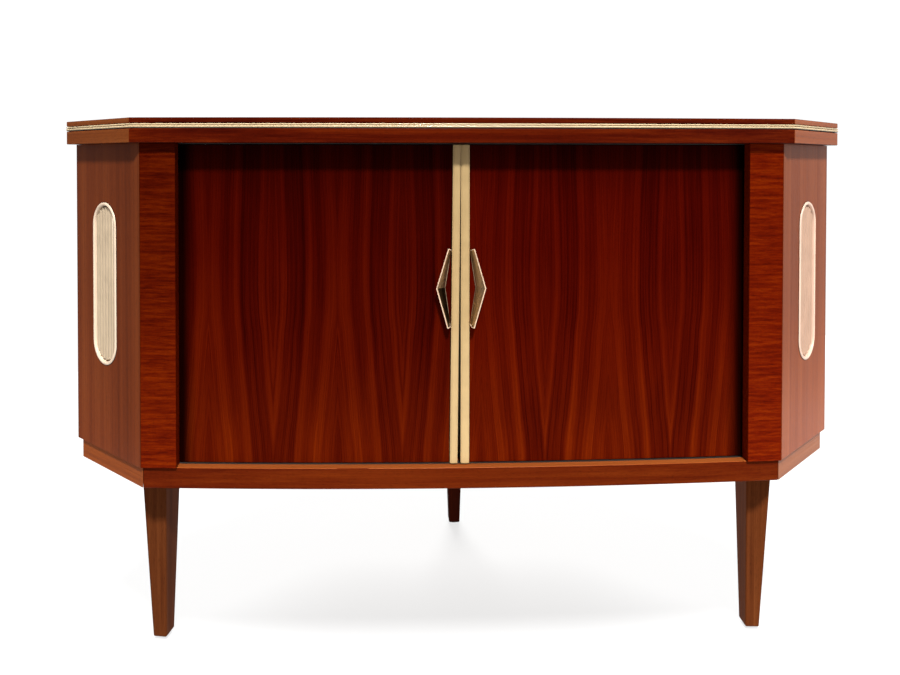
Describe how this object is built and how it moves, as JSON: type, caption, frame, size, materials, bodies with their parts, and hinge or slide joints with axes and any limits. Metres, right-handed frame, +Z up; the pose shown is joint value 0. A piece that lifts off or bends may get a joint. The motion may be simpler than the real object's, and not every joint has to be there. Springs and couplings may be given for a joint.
{
  "type": "radio phonograph console",
  "caption": "Corner console cabinet with roll doors over a record deck, a radio and record storage, speakers behind oblong side grilles, on tapered legs.",
  "frame": {"origin": "on the floor, under the centre of the bounding box", "axes": "+X to the right as seen from the front, +Y to the back, +Z up"},
  "size_m": [1.2488, 0.5742, 0.8],
  "materials": {
    "walnut_veneer": "lacquered walnut veneer, red-brown, semi-gloss",
    "walnut_panel": "lacquered walnut veneer, paler, vertical grain",
    "walnut_legs": "stained solid walnut, satin",
    "maple_lining": "pale maple lining, satin",
    "cream_trim": "cream moulded trim with a warm metallic bead",
    "brass": "polished pale brass",
    "hardboard": "brown pressed hardboard, matt",
    "steel": "turned steel, satin",
    "chassis_steel": "grey zinc-coated chassis steel",
    "black_metal": "black, matt",
    "black_plastic": "black moulded plastic",
    "deck_enamel": "cream stove enamel",
    "ivory_plastic": "ivory moulded plastic",
    "dial_scale": "dark brown dial with pale lines",
    "dial_glass": "clear glass",
    "rubber": "ribbed black rubber"
  },
  "bodies": {
    "root": {"top_board": "walnut_veneer", "front_rail": "walnut_veneer", "left_stile": "walnut_veneer", "right_stile": "walnut_veneer", "left_side_rail": "walnut_panel", "right_side_rail": "walnut_panel", "rear_rail": "walnut_panel", "left_side_panel": "walnut_panel", "right_side_panel": "walnut_panel", "radio_fascia": "walnut_panel", "front_left_leg": "walnut_legs", "front_right_leg": "walnut_legs", "rear_leg": "walnut_legs", "floor_panel": "maple_lining", "left_partition": "maple_lining", "right_partition": "maple_lining", "centre_divider": "maple_lining", "deck_shelf": "maple_lining", "radio_shelf": "maple_lining", "record_divider": "maple_lining", "top_trim": "cream_trim", "left_grille_frame": "cream_trim", "right_grille_frame": "cream_trim", "left_grille_louvre": "cream_trim", "right_grille_louvre": "cream_trim", "left_back_panel": "hardboard", "right_back_panel": "hardboard", "rear_panel": "hardboard", "front_left_glide": "steel", "front_right_glide": "steel", "rear_glide": "steel", "arm_rest": "steel", "radio_chassis": "chassis_steel", "lower_track": "black_metal", "upper_track": "black_metal", "left_speaker": "black_metal", "right_speaker": "black_metal", "power_inlet": "black_plastic", "deck_plate": "deck_enamel", "dial_scale": "dial_scale", "dial_glass": "dial_glass"},
    "left_door": {"left_lead_strip": "cream_trim", "left_door_handle": "brass", "left_door_curtain": "walnut_veneer"},
    "left_tail": {"left_tail_slats": "walnut_veneer"},
    "right_door": {"right_lead_strip": "cream_trim", "right_door_handle": "brass", "right_door_curtain": "walnut_veneer"},
    "right_tail": {"right_tail_slats": "walnut_veneer"},
    "turntable": {"platter": "steel", "platter_mat": "rubber"},
    "arm_pivot": {"tonearm_pivot": "ivory_plastic"},
    "arm": {"tonearm": "ivory_plastic"},
    "selector": {"speed_selector": "ivory_plastic"},
    "tuning": {"tuning_knob": "ivory_plastic"},
    "pointer": {"dial_pointer": "brass"},
    "volume": {"volume_knob": "ivory_plastic"},
    "key_1": {"push_key_1": "ivory_plastic"},
    "key_2": {"push_key_2": "ivory_plastic"},
    "key_3": {"push_key_3": "ivory_plastic"}
  },
  "joints": [
    {"name": "left_door_slide", "type": "slide", "parent": "root", "child": "left_door", "axis": [-0.9995, 0.0301, 0], "range_m": [0, 0.37], "deforming": ["left_door_curtain"]},
    {"name": "left_tail_slide", "type": "slide", "parent": "root", "child": "left_tail", "axis": [0.4384, 0.8988, 0], "range_m": [0, 0.37]},
    {"name": "right_door_slide", "type": "slide", "parent": "root", "child": "right_door", "axis": [0.9996, 0.028, 0], "range_m": [0, 0.37], "deforming": ["right_door_curtain"]},
    {"name": "right_tail_slide", "type": "slide", "parent": "root", "child": "right_tail", "axis": [-0.4384, 0.8988, 0], "range_m": [0, 0.37]},
    {"name": "platter_spin", "type": "hinge", "parent": "root", "child": "turntable", "pos_m": [-0.19, -0.03485, 0.5003], "axis": [0, 0, -1], "continuous": true},
    {"name": "tonearm_swing", "type": "hinge", "parent": "root", "child": "arm_pivot", "pos_m": [-0.054, 0.11115, 0.5003], "axis": [0, 0, -1], "range_deg": [0, 30]},
    {"name": "tonearm_lift", "type": "hinge", "parent": "arm_pivot", "child": "arm", "pos_m": [-0.054, 0.11115, 0.5403], "axis": [-1, 0, 0], "range_deg": [0, 12]},
    {"name": "speed_select", "type": "hinge", "parent": "root", "child": "selector", "pos_m": [-0.352, -0.13885, 0.5003], "axis": [0, 0, -1], "range_deg": [0, 120]},
    {"name": "tuning_turn", "type": "hinge", "parent": "root", "child": "tuning", "pos_m": [0.352, -0.19485, 0.572], "axis": [0, 1, 0], "range_deg": [-720, 720]},
    {"name": "pointer_slide", "type": "slide", "parent": "root", "child": "pointer", "axis": [1, 0, 0], "range_m": [-0.132, 0.132]},
    {"name": "volume_turn", "type": "hinge", "parent": "root", "child": "volume", "pos_m": [0.092, -0.19485, 0.572], "axis": [0, 1, 0], "range_deg": [0, 270]},
    {"name": "key_1_press", "type": "slide", "parent": "root", "child": "key_1", "axis": [0, 1, 0], "range_m": [0, 0.005], "stiffness_N_per_m": 300, "springref_m": -0.002},
    {"name": "key_2_press", "type": "slide", "parent": "root", "child": "key_2", "axis": [0, 1, 0], "range_m": [0, 0.005], "stiffness_N_per_m": 300, "springref_m": -0.002},
    {"name": "key_3_press", "type": "slide", "parent": "root", "child": "key_3", "axis": [0, 1, 0], "range_m": [0, 0.005], "stiffness_N_per_m": 300, "springref_m": -0.002}
  ],
  "couplings": [
    {"joint": "left_tail_slide", "follows": "left_door_slide", "ratio": 1},
    {"joint": "right_tail_slide", "follows": "right_door_slide", "ratio": 1},
    {"joint": "pointer_slide", "follows": "tuning_turn", "m_per_rad": 0.0105}
  ]
}
